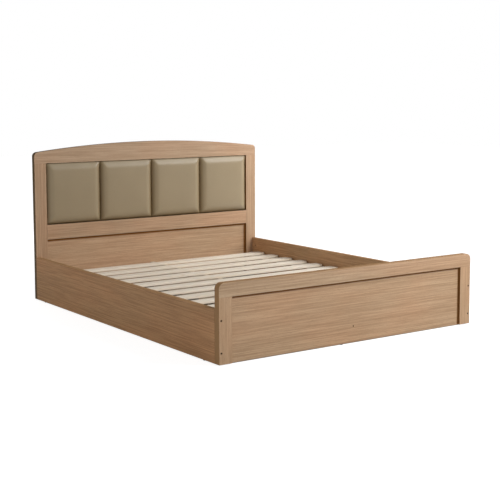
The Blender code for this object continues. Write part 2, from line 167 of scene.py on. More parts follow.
class BedWoodSettings(PropertyGroup):
    oak_light: colour("Oak light", (0.536, 0.354, 0.217), "Lightest streaks of the oak laminate")
    oak_dark: colour("Oak dark", (0.382, 0.234, 0.131), "Darkest streaks of the oak laminate")
    oak_pore: colour("Oak pores", (0.235, 0.140, 0.075), "Short dark pores in the oak laminate")
    headboard_band: colour("Headboard edge", (0.110, 0.065, 0.026), "Edge band round the headboard")
    # Painted shade: the frames' inner edges, which face into the recesses, are coloured darker
    recess_shade_band: colour("Recess edge", (0.250, 0.120, 0.036), "Edge band on the frames' inner edges")
    # Painted shadow: the frame's shadow on a recessed panel, along its top and right edges
    recess_painted_shadow: colour("Recess stain", (0.38, 0.23, 0.08), "Tone of a recessed panel next to its frame")
    foot_painted_shadow_width: length("Foot stain width", 0.0105, "Width of that darker line on the footboard")
    head_painted_shadow_width: length("Head stain width", 0.0140, "Width of that darker line on the headboard")
    board_band: colour("Board edge", (0.355, 0.196, 0.082), "Edge band of the footboard and side rails")
    # Painted light: these tints brighten and cool the headboard's frame, both top rails and the headboard's
    # lower panel, standing in for light and sheen
    headboard_light_tint: tone("Headboard tint", (1.000, 1.010, 1.060), "Tone of the headboard's frame")
    head_top_sheen_tint: tone("Headboard top tint", (1.030, 1.070, 1.165), "Tone of the headboard's top rail")
    foot_top_sheen_tint: tone("Footboard top tint", (1.000, 1.030, 1.070), "Tone of the footboard's top rail")
    lower_panel_light_tint: tone("Lower panel tint", (1.070, 1.080, 1.110), "Tone of the headboard's lower panel")
    # Painted shade: the side rails' laminate is warmer and darker, standing in for the shade on their faces
    # that look away from the main light
    left_rail_shade_tint: tone("Left rail tint", (1.01, 0.85, 0.67), "Warmer tone of the left side rail")
    right_rail_shade_tint: tone("Right rail tint", (1.0, 0.93, 0.82), "Warmer tone of the right side rail")
    pine_light: colour("Pine light", (0.855, 0.779, 0.670), "Lightest wood of the slats")
    pine_dark: colour("Pine dark", (0.728, 0.637, 0.513), "Darker streaks of the slats")
    # Painted light: brightens the slats' front and back faces, as if lit as well as their tops
    slat_face_painted_light_tint: tone("Slat edge tint", (1.13, 1.13, 1.12), "Lighter tone of the slats' planed long edges")
    # Painted shade: the centre support under the slats is darkened
    support_shade_tint: tone("Support tint", (0.78, 0.72, 0.64), "Darker tone of the centre support")
    pine_end: colour("Pine end grain", (0.400, 0.285, 0.190), "Sawn ends of the slats")
    plywood_light: colour("Plywood light", (0.500, 0.380, 0.245), "Lighter veneer of the plywood")
    plywood_dark: colour("Plywood dark", (0.360, 0.255, 0.150), "Darker veneer of the plywood")
    rail_contrast: FloatProperty(name="Rail contrast", default=1.45, min=0.5, max=3.0,
                                 description="How much stronger the side rails' grain is")
    streak_length: length("Streak length", 0.58, "Length of the broad streaks in the laminate")
    streak_width: length("Streak width", 0.0065, "Width of the broad streaks in the laminate")


class BedFittingSettings(PropertyGroup):
    plating_dark: colour("Plating dark", (0.070, 0.045, 0.028), "Darker stains of the bolts' plating")
    plating_light: colour("Plating light", (0.160, 0.110, 0.070), "Lighter parts of the bolts' plating")
    glide_black: colour("Glide", (0.018, 0.018, 0.018), "Plastic of the glides")
    glide_scuffed: colour("Glide scuffs", (0.060, 0.058, 0.055), "Plastic of the glides where it is worn")


class BedPadSettings(PropertyGroup):
    leather: colour("Leatherette", (0.328, 0.256, 0.158), "Colour of the leatherette")
    leather_fold: colour("Leatherette shade", (0.279, 0.215, 0.128), "Colour in the grain's valleys")
    # Painted shade: darker leatherette along each pad's sides and bottom
    seam_shade_tone: colour("Seam tone", (0.60, 0.52, 0.38), "Darker tone of a pad's sides and bottom")
    seam_shade_reach: length("Seam reach", 0.030, "How far that darker tone reaches onto the pad")
    roll_reach: length("Roll reach", 0.048, "How far the rolled edge reaches in from the rim")
    roll_power: FloatProperty(name="Roll power", description="Higher values make the roll steeper at the rim",
                              default=2.1, min=1.0)
    squareness: FloatProperty(name="Squareness", description="How square the roll turns at the corners",
                              default=6.0, min=2.0)
    crown: length("Crown", 0.0105, "How far the middle stands in front of the wooden frame")
    swell_start: length("Swell start", 0.0012, "How much lower the pad starts before it is blown up")
    edge_recess: length("Edge recess", 0.0110, "How far the pad's edge lies behind the frame's front")
    top_recess: length("Top recess", 0.0050, "How far the pad's top edge lies behind the frame's front")
    voxel: length("Voxel", 0.005, "Size of the remeshed faces before the cloth is blown up")
    swell_limit: length("Swell limit", 0.0015, "Furthest that the cloth may move any point")
    side_growth: length("Side growth", 0.0006, "How far a pad reaches past its board on each side")
    sway: length("Sway", 0.0012, "Height of the slow swells that tell the pads apart")
    sway_reach: length("Sway reach", 0.11, "Length of the slow swells")
    stiffness: FloatProperty(name="Stiffness", description="How hard the leatherette is to stretch",
                             default=40.0, min=0.0)
    pressure: FloatProperty(name="Pressure", description="Pressure inside the pad", default=4.0, min=0.0)
    taut_rounds: IntProperty(name="Taut rounds", default=30, min=0,
                             description="How often the cloth's movement is averaged with its neighbours'")
    frames: IntProperty(name="Frames", description="Cloth frames to run", default=20, min=1)
    fill: share("Fill", 0.8, "How full the pad is")


class BedStageSettings(PropertyGroup):
    floor: colour("Floor", (0.820, 0.820, 0.820), "Colour of the studio floor")
    glow: share("Floor glow", 0.84, "How white the camera sees the open floor before any light falls on it")
    glow_reach: length("Glow reach", 1.6, "Where the floor starts to turn pure white, from the bed's middle")
    # Painted shade: the colour the camera sees on the floor below the bed
    under_bed_shade_colour: colour("Floor below the bed", (0.240, 0.202, 0.155), "Floor in the bed's shade")
    shadow: share("Shadow", 0.5, "How much of the floor's own light and shadow the camera sees")
    shade_edge: length("Shade edge", 0.012, "Width of the soft rim of the shade below the bed")
    near_shade_start: length("Near shade start", 0.012, "How far in the shade starts at the left and foot")
    floor_size: length("Floor size", 30.0, "Side of the studio floor")
    key: power("Key", 103.0, "Power of the main soft light, at the front and to the right")
    side: power("Side", 27.0, "Power of the nearer light to the right of the headboard")
    fill: power("Fill", 66.0, "Power of the wide fill light to the left")
    low: power("Low", 5.0, "Power of the low light in front of the footboard's left half")
    sheen: power("Sheen", 98.0, "Power of the light that only shows as a shine, to the right")
    back: power("Back", 40.0, "Power of the low light behind the headboard")
    sky: FloatProperty(name="Sky", default=0.18, min=0.0,
                       description="Strength of the even light from all round")


def link(tree, source, target):
    tree.links.new(source, target)


def add(tree, kind, inputs=None, **settings):
    """A new shader node with its settings and the values of its sockets."""
    made = tree.nodes.new(kind)
    for name, value in settings.items():
        setattr(made, name, value)
    for name, value in (inputs or {}).items():
        made.inputs[name].default_value = value
    return made


def math_node(tree, operation, first, second=None, third=None):
    """A sum on numbers or sockets."""
    made = add(tree, "ShaderNodeMath", operation=operation)
    for slot, value in enumerate((first, second, third)):
        if value is None:
            continue
        if isinstance(value, (int, float)):
            made.inputs[slot].default_value = value
        else:
            link(tree, value, made.inputs[slot])
    return made.outputs[0]


def scaled(tree, value, by, plus=0.0):
    """A value times one number, plus another number or value."""
    return math_node(tree, "MULTIPLY_ADD", value, by, plus)


def opposite(tree, value):
    """1 where the value is 0, and 0 where it is 1."""
    return math_node(tree, "SUBTRACT", 1.0, value)


def ramp(tree, value, low, high):
    """Value stretched so that low gives 0 and high gives 1."""
    made = add(tree, "ShaderNodeMapRange", {"From Min": low, "From Max": high},
               interpolation_type="SMOOTHSTEP")
    link(tree, value, made.inputs["Value"])
    return made.outputs["Result"]


def mix_colours(tree, amount, first, second, blend="MIX"):
    """Two colours, or a colour and a tone, mixed by an amount from 0 to 1."""
    made = add(tree, "ShaderNodeMix", data_type="RGBA", blend_type=blend)
    sockets = [socket for socket in made.inputs if socket.type == "RGBA"]
    for socket, value in zip(sockets, (first, second)):
        if isinstance(value, bpy.types.NodeSocket):
            link(tree, value, socket)
        else:
            socket.default_value = (*value, 1.0)
    if isinstance(amount, (int, float)):
        made.inputs["Factor"].default_value = amount
    else:
        link(tree, amount, made.inputs["Factor"])
    return next(socket for socket in made.outputs if socket.type == "RGBA")


def toned(tree, base, tint):
    """A colour multiplied by a tone."""
    return mix_colours(tree, 1.0, base, tint, "MULTIPLY")


def new_finish(name):
    material = bpy.data.materials.new(name)
    material.use_nodes = True
    return material, material.node_tree, material.node_tree.nodes["Principled BSDF"]


def place_parts(tree):
    """The X, Y and Z of a point on the piece."""
    place = add(tree, "ShaderNodeTexCoord")
    parts = add(tree, "ShaderNodeSeparateXYZ")
    link(tree, place.outputs["Object"], parts.inputs["Vector"])
    return parts.outputs


def stretched(tree, grain, size, offset):
    """Object coordinates drawn out along the grain, so that a pattern's marks get this length and width."""
    along, across = size
    scale = [1.0 / across] * 3
    scale["XYZ".index(grain)] = 1.0 / along
    place = add(tree, "ShaderNodeTexCoord")
    mapping = add(tree, "ShaderNodeMapping", {"Location": offset, "Scale": scale})
    link(tree, place.outputs["Object"], mapping.inputs["Vector"])
    return mapping.outputs["Vector"]


def streaks(tree, grain, size, offset, detail, distortion=0.0):
    """Streaks of about this length and width along the grain."""
    vector = stretched(tree, grain, size, offset)
    pattern = add(tree, "ShaderNodeTexNoise", {"Scale": 1.0, "Detail": detail, "Roughness": STREAK_ROUGHNESS,
                                               "Distortion": distortion})
    link(tree, vector, pattern.inputs["Vector"])
    return pattern.outputs["Fac"]


def side_mask(tree, axis):
    """1 on faces that look along the axis, 0 on the others."""
    surface = add(tree, "ShaderNodeNewGeometry")
    parts = add(tree, "ShaderNodeSeparateXYZ")
    link(tree, surface.outputs["Normal"], parts.inputs["Vector"])
    return ramp(tree, math_node(tree, "ABSOLUTE", parts.outputs[axis]), low=0.72, high=0.90)


def recess_shade_mask(tree, reach):
    """1 nearer than the reach to the bed's middle line, 0 further out: where the frames' inner edges take the
    painted recess shade.
    """
    out = math_node(tree, "ABSOLUTE", place_parts(tree)["X"])
    return math_node(tree, "LESS_THAN", out, reach)


def recess_painted_shadow(tree, opening):
    """Painted shadow: 1 where a recessed panel meets the frame above it and to its right, 0 further in."""
    parts = place_parts(tree)
    right, top, width = opening
    nearest = math_node(tree, "MINIMUM", math_node(tree, "SUBTRACT", right, parts["X"]),
                        math_node(tree, "SUBTRACT", top, parts["Z"]))
    start, end = PAINTED_SHADOW_EDGE_SHARES
    return opposite(tree, ramp(tree, nearest, width * start, width * end))


def bump_from(tree, shader, height, strength, distance):
    """Relief under the shine."""
    relief = add(tree, "ShaderNodeBump", {"Strength": strength, "Distance": distance})
    link(tree, height, relief.inputs["Height"])
    link(tree, relief.outputs["Normal"], shader.inputs["Normal"])


def offset_for(name):
    """A place in the pattern that belongs to one board, so that no two boards match."""
    total = sum((step + 1) * ord(letter) for step, letter in enumerate(name))
    return tuple(total % count * PATTERN_SPREAD / part for count, part in PATTERN_STEPS)


def oak_laminate(name, grain, face_axis, band, tint=WHITE, recess_shade_reach=0.0, opening=None, contrast=1.0):
    """Oak-grain laminate on the wide faces, with an edge band on the narrow ones; painted shade on the
    frames' inner edges, a painted shadow line on recessed panels, and tints that paint light, sheen or shade.
    """
    wood = bpy.context.scene.bed_wood
    material, tree, shader = new_finish(name)
    offset = offset_for(name)
    widest = (wood.streak_length * WIDE_TIMES[0], wood.streak_width * WIDE_TIMES[1])
    finest = (wood.streak_length / FINE_PARTS[0], wood.streak_width / FINE_PARTS[1])
    broad = streaks(tree, grain, (wood.streak_length, wood.streak_width), offset, detail=4.0, distortion=0.06)
    wide = streaks(tree, grain, widest, offset, detail=2.0, distortion=0.1)
    fine = streaks(tree, grain, finest, offset, detail=3.0)
    pores = streaks(tree, grain, OAK_PORE, offset, detail=1.0)
    value = scaled(tree, wide, by=0.20, plus=0.05)
    value = scaled(tree, broad, by=0.85, plus=value)
    value = math_node(tree, "ADD", value, scaled(tree, fine, by=1.0, plus=-0.5))
    reach = FIGURE_REACH / contrast
    figure = ramp(tree, value, FIGURE_MIDDLE - reach, FIGURE_MIDDLE + reach)
    face = mix_colours(tree, figure, wood.oak_dark, wood.oak_light)
    pore_amount = scaled(tree, ramp(tree, pores, low=0.60, high=0.74), by=0.55)
    face = mix_colours(tree, pore_amount, face, wood.oak_pore)
    patches = streaks(tree, grain, OAK_PATCH, offset, detail=2.0)
    # A tint may paint light, sheen or shade over a whole board
    cool, warm = [[part * change for part, change in zip(tint, changes)] for changes in (OAK_COOL, OAK_WARM)]
    face = toned(tree, face, mix_colours(tree, ramp(tree, patches, low=0.35, high=0.65), cool, warm))
    fine_tone = mix_colours(tree, fine, BAND_DIM, BAND_BRIGHT)
    edge = toned(tree, band, fine_tone)
    # Painted shade on the inner edges of stiles and posts, which face into the recesses
    inner = toned(tree, wood.recess_shade_band, fine_tone)
    edge = mix_colours(tree, recess_shade_mask(tree, recess_shade_reach), edge, inner)
    # Painted shadow of the frame on the recessed panel, along its top and right edges
    if opening:
        painted_shadow_face = toned(tree, face, wood.recess_painted_shadow)
        face = mix_colours(tree, recess_painted_shadow(tree, opening), face, painted_shadow_face)
    base = mix_colours(tree, side_mask(tree, face_axis), edge, face)
    link(tree, base, shader.inputs["Base Color"])
    link(tree, scaled(tree, fine, by=0.16, plus=0.46), shader.inputs["Roughness"])
    shader.inputs["Specular IOR Level"].default_value = OAK_SHINE
    height = scaled(tree, pore_amount, by=-1.0, plus=fine)
    bump_from(tree, shader, height, strength=0.22, distance=0.0004)
    return material


def opening_in(board, rail, width):
    """High X and high Z of the opening below a rail, and the width of the painted shadow line along them."""
    upright = next(name for name in nodes if name.startswith(f"{board}_right_"))
    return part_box(upright)[0].x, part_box(rail)[0].z, width


def upright_middle(node):
    """Distance from the bed's middle line to the middle of a stile or post, between its two edge bands."""
    low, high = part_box(node)
    return abs(low.x + high.x) / 2


def pale_pine(name, grain="X", tint=WHITE):
    """Pale softwood with faint growth lines, a few knots and darker sawn ends; slats get painted light on
    their front and back faces, and a tint may paint shade.
    """
    wood = bpy.context.scene.bed_wood
    material, tree, shader = new_finish(name)
    offset = offset_for(name)
    lines = streaks(tree, grain, PINE_LINE, offset, detail=4.0, distortion=0.35)
    fibres = streaks(tree, grain, PINE_FIBRE, offset, detail=2.0)
    patches = streaks(tree, grain, PINE_PATCH, offset, detail=2.0)
    value = scaled(tree, fibres, by=0.35, plus=-0.175)
    value = scaled(tree, lines, by=0.9, plus=value)
    value = scaled(tree, patches, by=0.35, plus=value)
    face = mix_colours(tree, ramp(tree, value, low=0.32, high=0.92), wood.pine_dark, wood.pine_light)
    knots = add(tree, "ShaderNodeTexVoronoi", {"Scale": 1.0, "Randomness": 1.0})
    link(tree, stretched(tree, grain, PINE_KNOT_SPACING, offset), knots.inputs["Vector"])
    knot = opposite(tree, ramp(tree, knots.outputs["Distance"], low=0.015, high=0.075))
    face = mix_colours(tree, scaled(tree, knot, by=0.5), face, wood.pine_end)
    rings = streaks(tree, grain, PINE_RING, offset, detail=3.0)
    end_tone = mix_colours(tree, rings, wood.pine_end, wood.pine_dark)
    # Painted light on the slats' front and back faces
    if grain == "X":
        painted_light_face = toned(tree, face, wood.slat_face_painted_light_tint)
        face = mix_colours(tree, side_mask(tree, "Y"), face, painted_light_face)
    # The tint paints shade on the centre support
    base = toned(tree, mix_colours(tree, side_mask(tree, grain), face, end_tone), tint)
    link(tree, base, shader.inputs["Base Color"])
    link(tree, scaled(tree, fibres, by=0.18, plus=0.55), shader.inputs["Roughness"])
    bump_from(tree, shader, fibres, strength=0.30, distance=0.0003)
    return material


def plywood(name):
    """Bare plywood: broad cathedral figure on the faces and thin plies on the edges."""
    wood = bpy.context.scene.bed_wood
    material, tree, shader = new_finish(name)
    offset = offset_for(name)
    figure = streaks(tree, "X", PLY_FIGURE, offset, detail=4.0, distortion=1.2)
    fibres = streaks(tree, "X", PLY_FIBRE, offset, detail=2.0)
    value = scaled(tree, fibres, by=0.3, plus=figure)
    face = mix_colours(tree, ramp(tree, value, low=0.38, high=0.92), wood.plywood_dark, wood.plywood_light)
    plies = streaks(tree, "X", PLY_LAYER, offset, detail=0.0)
    edge = mix_colours(tree, ramp(tree, plies, low=0.44, high=0.56), wood.oak_pore, wood.plywood_light)
    base = mix_colours(tree, side_mask(tree, "Y"), edge, face)
    link(tree, base, shader.inputs["Base Color"])
    link(tree, scaled(tree, fibres, by=0.2, plus=0.62), shader.inputs["Roughness"])
    bump_from(tree, shader, fibres, strength=0.35, distance=0.0004)
    return material


def seam_shade(tree, low, high):
    """1 along a pad's two sides and its bottom, where painted shade goes, 0 further in."""
    parts = place_parts(tree)
    across = math_node(tree, "MINIMUM", math_node(tree, "SUBTRACT", parts["X"], low.x),
                       math_node(tree, "SUBTRACT", high.x, parts["X"]))
    nearest = math_node(tree, "MINIMUM", across, math_node(tree, "SUBTRACT", parts["Z"], low.z))
    return opposite(tree, ramp(tree, nearest, 0.0, bpy.context.scene.bed_pads.seam_shade_reach))


def leatherette(name, low, high):
    """Smooth coated fabric with a fine pebble grain, a soft shine and slightly darker folds, with painted
    shade along the sides and bottom.
    """
    pads = bpy.context.scene.bed_pads
    material, tree, shader = new_finish(name)
    offset = offset_for(name)
    pebbles = add(tree, "ShaderNodeTexVoronoi", {"Scale": 1.0, "Randomness": 0.9}, feature="SMOOTH_F1")
    link(tree, stretched(tree, "X", LEATHER_PEBBLE, offset), pebbles.inputs["Vector"])
    creases = streaks(tree, "X", LEATHER_CREASE, offset, detail=4.0)
    clouds = streaks(tree, "X", LEATHER_CLOUD, offset, detail=2.0)
    valley = ramp(tree, pebbles.outputs["Distance"], low=0.35, high=0.80)
    skin = mix_colours(tree, scaled(tree, valley, by=0.45), pads.leather, pads.leather_fold)
    base = toned(tree, skin, mix_colours(tree, clouds, CLOUD_DIM, CLOUD_BRIGHT))
    # Painted shade along the pad's sides and bottom
    painted_seam_shade = toned(tree, base, pads.seam_shade_tone)
    base = mix_colours(tree, seam_shade(tree, low, high), base, painted_seam_shade)
    link(tree, base, shader.inputs["Base Color"])
    link(tree, scaled(tree, creases, by=0.12, plus=0.36), shader.inputs["Roughness"])
    shader.inputs["Specular IOR Level"].default_value = LEATHER_SHINE
    height = scaled(tree, pebbles.outputs["Distance"], by=-0.7, plus=creases)
    bump_from(tree, shader, height, strength=0.16, distance=0.0003)
    return material


def bronzed_steel(name):
    """Dark bronze-coloured plating: brushed, with faint stains."""
    fittings = bpy.context.scene.bed_fittings
    material, tree, shader = new_finish(name)
    offset = offset_for(name)
    brushed = streaks(tree, "Y", STEEL_BRUSH, offset, detail=3.0)
    stains = streaks(tree, "Y", STEEL_STAIN, offset, detail=2.0)
    base = mix_colours(tree, stains, fittings.plating_dark, fittings.plating_light)
    link(tree, base, shader.inputs["Base Color"])
    shader.inputs["Metallic"].default_value = 1.0
    link(tree, scaled(tree, brushed, by=0.25, plus=0.30), shader.inputs["Roughness"])
    bump_from(tree, shader, brushed, strength=0.2, distance=0.0001)
    return material


def glide_plastic(name):
    """Black moulded plastic with a fine matt texture and floor scuffs."""
    fittings = bpy.context.scene.bed_fittings
    material, tree, shader = new_finish(name)
    offset = offset_for(name)
    grain = streaks(tree, "X", GLIDE_GRAIN, offset, detail=2.0)
    scuffs = streaks(tree, "X", GLIDE_SCUFF, offset, detail=3.0)
    worn = ramp(tree, scuffs, low=0.55, high=0.75)
    base = mix_colours(tree, worn, fittings.glide_black, fittings.glide_scuffed)
    link(tree, base, shader.inputs["Base Color"])
    link(tree, scaled(tree, grain, by=0.2, plus=0.45), shader.inputs["Roughness"])
    bump_from(tree, shader, grain, strength=0.3, distance=0.0001)
    return material


def dress(node, material):
    """A CAD board keeps its shape and takes a finish."""
    slots = nodes[node].data.materials
    if not slots:
        slots.append(material)
    for number in range(len(slots)):
        slots[number] = material


def piece_from(form, name, material):
    """A finished piece from a bmesh, its place in its mesh and its object at the origin."""
    mesh = bpy.data.meshes.new(name)
    form.to_mesh(mesh)
    form.free()
    mesh.materials.append(material)
    thing = bpy.data.objects.new(name, mesh)
    bpy.context.scene.collection.objects.link(thing)
    return thing


def applied(thing):
    """The object's modifiers become its mesh."""
    bpy.context.view_layer.update()
    depsgraph = bpy.context.evaluated_depsgraph_get()
    mesh = bpy.data.meshes.new_from_object(thing.evaluated_get(depsgraph))
    old = thing.data
    thing.modifiers.clear()
    thing.data = mesh
    bpy.data.meshes.remove(old)
    return thing


def rim_ward(place):
    """Grid places drawn towards the rim, where the pad bends most."""
    return math.sin(place * math.pi / 2)


def roll_share(across, upward, half):
    """Height share of the pad at a place given in half widths: flat in the middle, rolled over at the rim."""
    pads = bpy.context.scene.bed_pads
    inward = [max(1.0 - (1.0 - abs(place)) * size / pads.roll_reach, 0.0)
              for place, size in ((across, half.x), (upward, half.z))]
    rim = sum(part ** pads.squareness for part in inward) ** (1.0 / pads.squareness)
    return 1.0 - min(rim, 1.0) ** pads.roll_power


def recess_at(upward, half):
    """Depth of the pad's edge behind the frame's front, which is less along the pad's top."""
    pads = bpy.context.scene.bed_pads
    top_share = max(1.0 - (1.0 - upward) * half.z / pads.roll_reach, 0.0)
    return pads.edge_recess + (pads.top_recess - pads.edge_recess) * top_share


def pad_block(low, high, back):
    """A pad before it is blown up: a flat back, a soft rolled edge and a low flat crown."""
    pads = bpy.context.scene.bed_pads
    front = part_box("headboard_mid_rail")[0].y
    half = (high - low) / 2
    middle = (low + high) / 2
    form = bmesh.new()
    grid = bmesh.ops.create_grid(form, x_segments=PAD_STEPS, y_segments=PAD_STEPS, size=1.0)
    for vertex in grid["verts"]:
        across, upward = rim_ward(vertex.co.x), rim_ward(vertex.co.y)
        recess = recess_at(upward, half)
        rise = (recess + pads.crown - pads.swell_start) * roll_share(across, upward, half)
        vertex.co = (middle.x + across * half.x, front + recess - rise, middle.z + upward * half.z)
    rim = [edge for edge in form.edges if edge.is_boundary]
    sides = bmesh.ops.extrude_edge_only(form, edges=rim)["geom"]
    pushed = [item for item in sides if isinstance(item, bmesh.types.BMVert)]
    for vertex in pushed:
        vertex.co.y = back
    back_rim = [edge for edge in form.edges if edge.is_boundary]
    bmesh.ops.contextual_create(form, geom=back_rim)
    bmesh.ops.recalc_face_normals(form, faces=form.faces)
    return form


def soft_variation(thing, number, back):
    """Small slow swells, so that no two pads are quite alike; the held back stays flat."""
    pads = bpy.context.scene.bed_pads
    depth = back - min(vertex.co.y for vertex in thing.data.vertices)
    for vertex in thing.data.vertices:
        point = vertex.co
        freedom = min((back - point.y) / depth, 1.0)
        sway = noise.noise(Vector((point.x, number * PAD_SWAY_STEP, point.z)) / pads.sway_reach)
        vertex.co.y = point.y + sway * pads.sway * freedom


def spread(steps, edges, rounds):
    """Movements averaged with their neighbours', so that the skin lies taut and free of folds."""
    for _ in range(rounds):
        sums = [step.copy() for step in steps]
        counts = [1] * len(steps)
        for first, second in edges:
            sums[first] += steps[second]
            sums[second] += steps[first]
            counts[first] += 1
            counts[second] += 1
        steps = [total / count for total, count in zip(sums, counts)]
    return steps


def blow_up(thing, back):
    """Cloth under pressure inside a pad whose back is held by its board."""
    pads = bpy.context.scene.bed_pads
    scene = bpy.context.scene
    held = thing.vertex_groups.new(name="held")
    held_from = back - pads.voxel * HELD_DEPTH_SHARE
    held.add([vertex.index for vertex in thing.data.vertices if vertex.co.y > held_from], 1.0, "REPLACE")
    cloth = thing.modifiers.new("cloth", "CLOTH")
    cloth.settings.vertex_group_mass = held.name
    cloth.settings.use_pressure = True
    cloth.settings.uniform_pressure_force = pads.pressure
    cloth.settings.tension_stiffness = pads.stiffness
    cloth.settings.compression_stiffness = pads.stiffness
    cloth.settings.bending_stiffness = pads.stiffness * BEND_SHARE
    cloth.settings.effector_weights.gravity = 0.0
    cloth.point_cache.frame_start = 1
    cloth.point_cache.frame_end = pads.frames
    for number in range(1, pads.frames + 1):
        scene.frame_set(number)
    applied(thing)
    thing.vertex_groups.clear()
    scene.frame_set(1)


def draw_taut(thing, start):
    """The cloth's movement from its start, limited and evened out."""
    pads = bpy.context.scene.bed_pads
    steps = []
    for vertex, point in zip(thing.data.vertices, start):
        step = vertex.co - point
        steps.append(step * (pads.swell_limit / (pads.swell_limit + step.length)))
    edges = [tuple(edge.vertices) for edge in thing.data.edges]
    for vertex, point, step in zip(thing.data.vertices, start, spread(steps, edges, pads.taut_rounds)):
        vertex.co = point + step


def keep_between(thing, low, high):
    """No point of a pad passes its neighbours or its board."""
    for vertex in thing.data.vertices:
        vertex.co.x = min(max(vertex.co.x, low.x), high.x)
        vertex.co.z = min(max(vertex.co.z, low.z), high.z)
        vertex.co.y = min(vertex.co.y, high.y)


def pad_space(number):
    """The corners of the opening's share that one pad fills."""
    pads = bpy.context.scene.bed_pads
    low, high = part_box(PAD_BOARD_NAMES[number - 1])
    grow = Vector((pads.side_growth, 0.0, pads.side_growth))
    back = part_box(PAD_NAMES[number - 1])[1].y
    return Vector((low.x, 0.0, low.z)) - grow, Vector((high.x, back, high.z)) + grow


def blown_pad():
    """One pad of foam under leatherette, blown up; its form serves all four places."""
    pads = bpy.context.scene.bed_pads
    low, high = pad_space(1)
    piece = piece_from(pad_block(low, high, high.y), "pad_form", leatherette("leatherette_form", low, high))
    remesh = piece.modifiers.new("even_faces", "REMESH")
    remesh.mode = "VOXEL"
    remesh.voxel_size = pads.voxel
    applied(piece)
    start = [vertex.co.copy() for vertex in piece.data.vertices]
    blow_up(piece, high.y)
    draw_taut(piece, start)
    keep_between(piece, low, high)
    return piece


def make_pad(form, number, material):
    """A leatherette pad over foam, held in its share of the headboard's opening."""
    low, high = pad_space(number)
    piece = bpy.data.objects.new(f"leatherette_pad_{number}", form.data.copy())
    bpy.context.scene.collection.objects.link(piece)
    piece.data.transform(Matrix.Translation(low - pad_space(1)[0]))
    soft_variation(piece, number, high.y)
    smooth = piece.modifiers.new("fine_skin", "SUBSURF")
    smooth.levels = 1
    smooth.render_levels = 1
    applied(piece)
    piece.data.shade_smooth()
    piece.data.materials.clear()
    piece.data.materials.append(material)
    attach(piece, "root")
    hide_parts(PAD_NAMES[number - 1])
    return piece


class BED_OT_dress_headboard(Operator):
    """Oak-grain laminate on the headboard, with the grain along each rail and stile"""
    bl_idname = "bed.dress_headboard"
    bl_label = "Dress headboard"

    def execute(self, context):
        wood = context.scene.bed_wood
        for node, grain in (("headboard_top_rail", "X"), ("headboard_left_stile", "Z"),
                            ("headboard_right_stile", "Z"), ("headboard_mid_rail", "X"),
                            ("headboard_lower_panel", "X")):
            opening = None
            if node == "headboard_lower_panel":
                opening = opening_in("headboard", "headboard_mid_rail", wood.head_painted_shadow_width)
            # Stiles take the painted recess shade on their inner edges
            reach = upright_middle(node) if node.endswith("_stile") else 0.0
            # Tints paint light and sheen onto the headboard's boards
            tint = {"headboard_top_rail": wood.head_top_sheen_tint,
                    "headboard_lower_panel": wood.lower_panel_light_tint}.get(node, wood.headboard_light_tint)
            dress(node, oak_laminate(node, grain, "Y", wood.headboard_band, tint, reach, opening))
        for node in PAD_BOARD_NAMES + ["headboard_back_board"]:
            dress(node, plywood(node))
        return {"FINISHED"}


class BED_OT_make_pads(Operator):
    """Leatherette pads, blown up by cloth simulation, in the headboard's opening"""
    bl_idname = "bed.make_pads"
    bl_label = "Make headboard pads"

    def execute(self, context):
        form = blown_pad()
        for number in range(1, len(PAD_NAMES) + 1):
            make_pad(form, number, leatherette(f"leatherette_{number}", *pad_space(number)))
        bpy.data.objects.remove(form)
        return {"FINISHED"}


class BED_OT_dress_footboard(Operator):
    """Oak-grain laminate on the footboard's rail, posts and recessed panel"""
    bl_idname = "bed.dress_footboard"
    bl_label = "Dress footboard"

    def execute(self, context):
        wood = context.scene.bed_wood
        for node, grain in (("footboard_top_rail", "X"), ("footboard_left_post", "Z"),
                            ("footboard_right_post", "Z"), ("footboard_panel", "X")):
            opening = None
            if node == "footboard_panel":
                opening = opening_in("footboard", "footboard_top_rail", wood.foot_painted_shadow_width)
            # Posts take the painted recess shade on their inner edges
            reach = upright_middle(node) if node.endswith("_post") else 0.0
            # The top rail's tint paints sheen onto it
            tint = wood.foot_top_sheen_tint if node == "footboard_top_rail" else WHITE
            dress(node, oak_laminate(node, grain, "Y", wood.board_band, tint, reach, opening))
        return {"FINISHED"}


class BED_OT_dress_side_rails(Operator):
    """Oak-grain laminate on the side rails, with the grain along the bed"""
    bl_idname = "bed.dress_side_rails"
    bl_label = "Dress side rails"

    def execute(self, context):
        wood = context.scene.bed_wood
        # The rails' tints paint warm shade onto their laminate
        for node, tint in (("left_side_rail", wood.left_rail_shade_tint),
                           ("right_side_rail", wood.right_rail_shade_tint)):
            dress(node, oak_laminate(node, "Y", "X", wood.board_band, tint, contrast=wood.rail_contrast))
        return {"FINISHED"}


class BED_OT_dress_slats(Operator):
    """Pale planed wood on the slats, their ledges and the centre support"""
    bl_idname = "bed.dress_slats"
    bl_label = "Dress slats"

    def execute(self, context):
        for node in SLAT_NAMES:
            dress(node, pale_pine(node))
        for node in ("left_slat_ledge", "right_slat_ledge"):
            dress(node, pale_pine(node, "Y"))
        support = "centre_support_board"
        # The centre support takes a tint of painted shade
        dress(support, pale_pine(support, "Y", context.scene.bed_wood.support_shade_tint))
        return {"FINISHED"}


class BED_OT_dress_fasteners(Operator):
    """Dark bronze-coloured plating on the bolts and screws, and black plastic on the glides"""
    bl_idname = "bed.dress_fasteners"
    bl_label = "Dress fasteners and glides"

    def execute(self, context):
        steel = bronzed_steel("bronzed_steel")
        black = glide_plastic("glide_plastic")
        for node in STEEL_NAMES:
            dress(node, steel)
        for node in GLIDE_NAMES:
            dress(node, black)
        return {"FINISHED"}


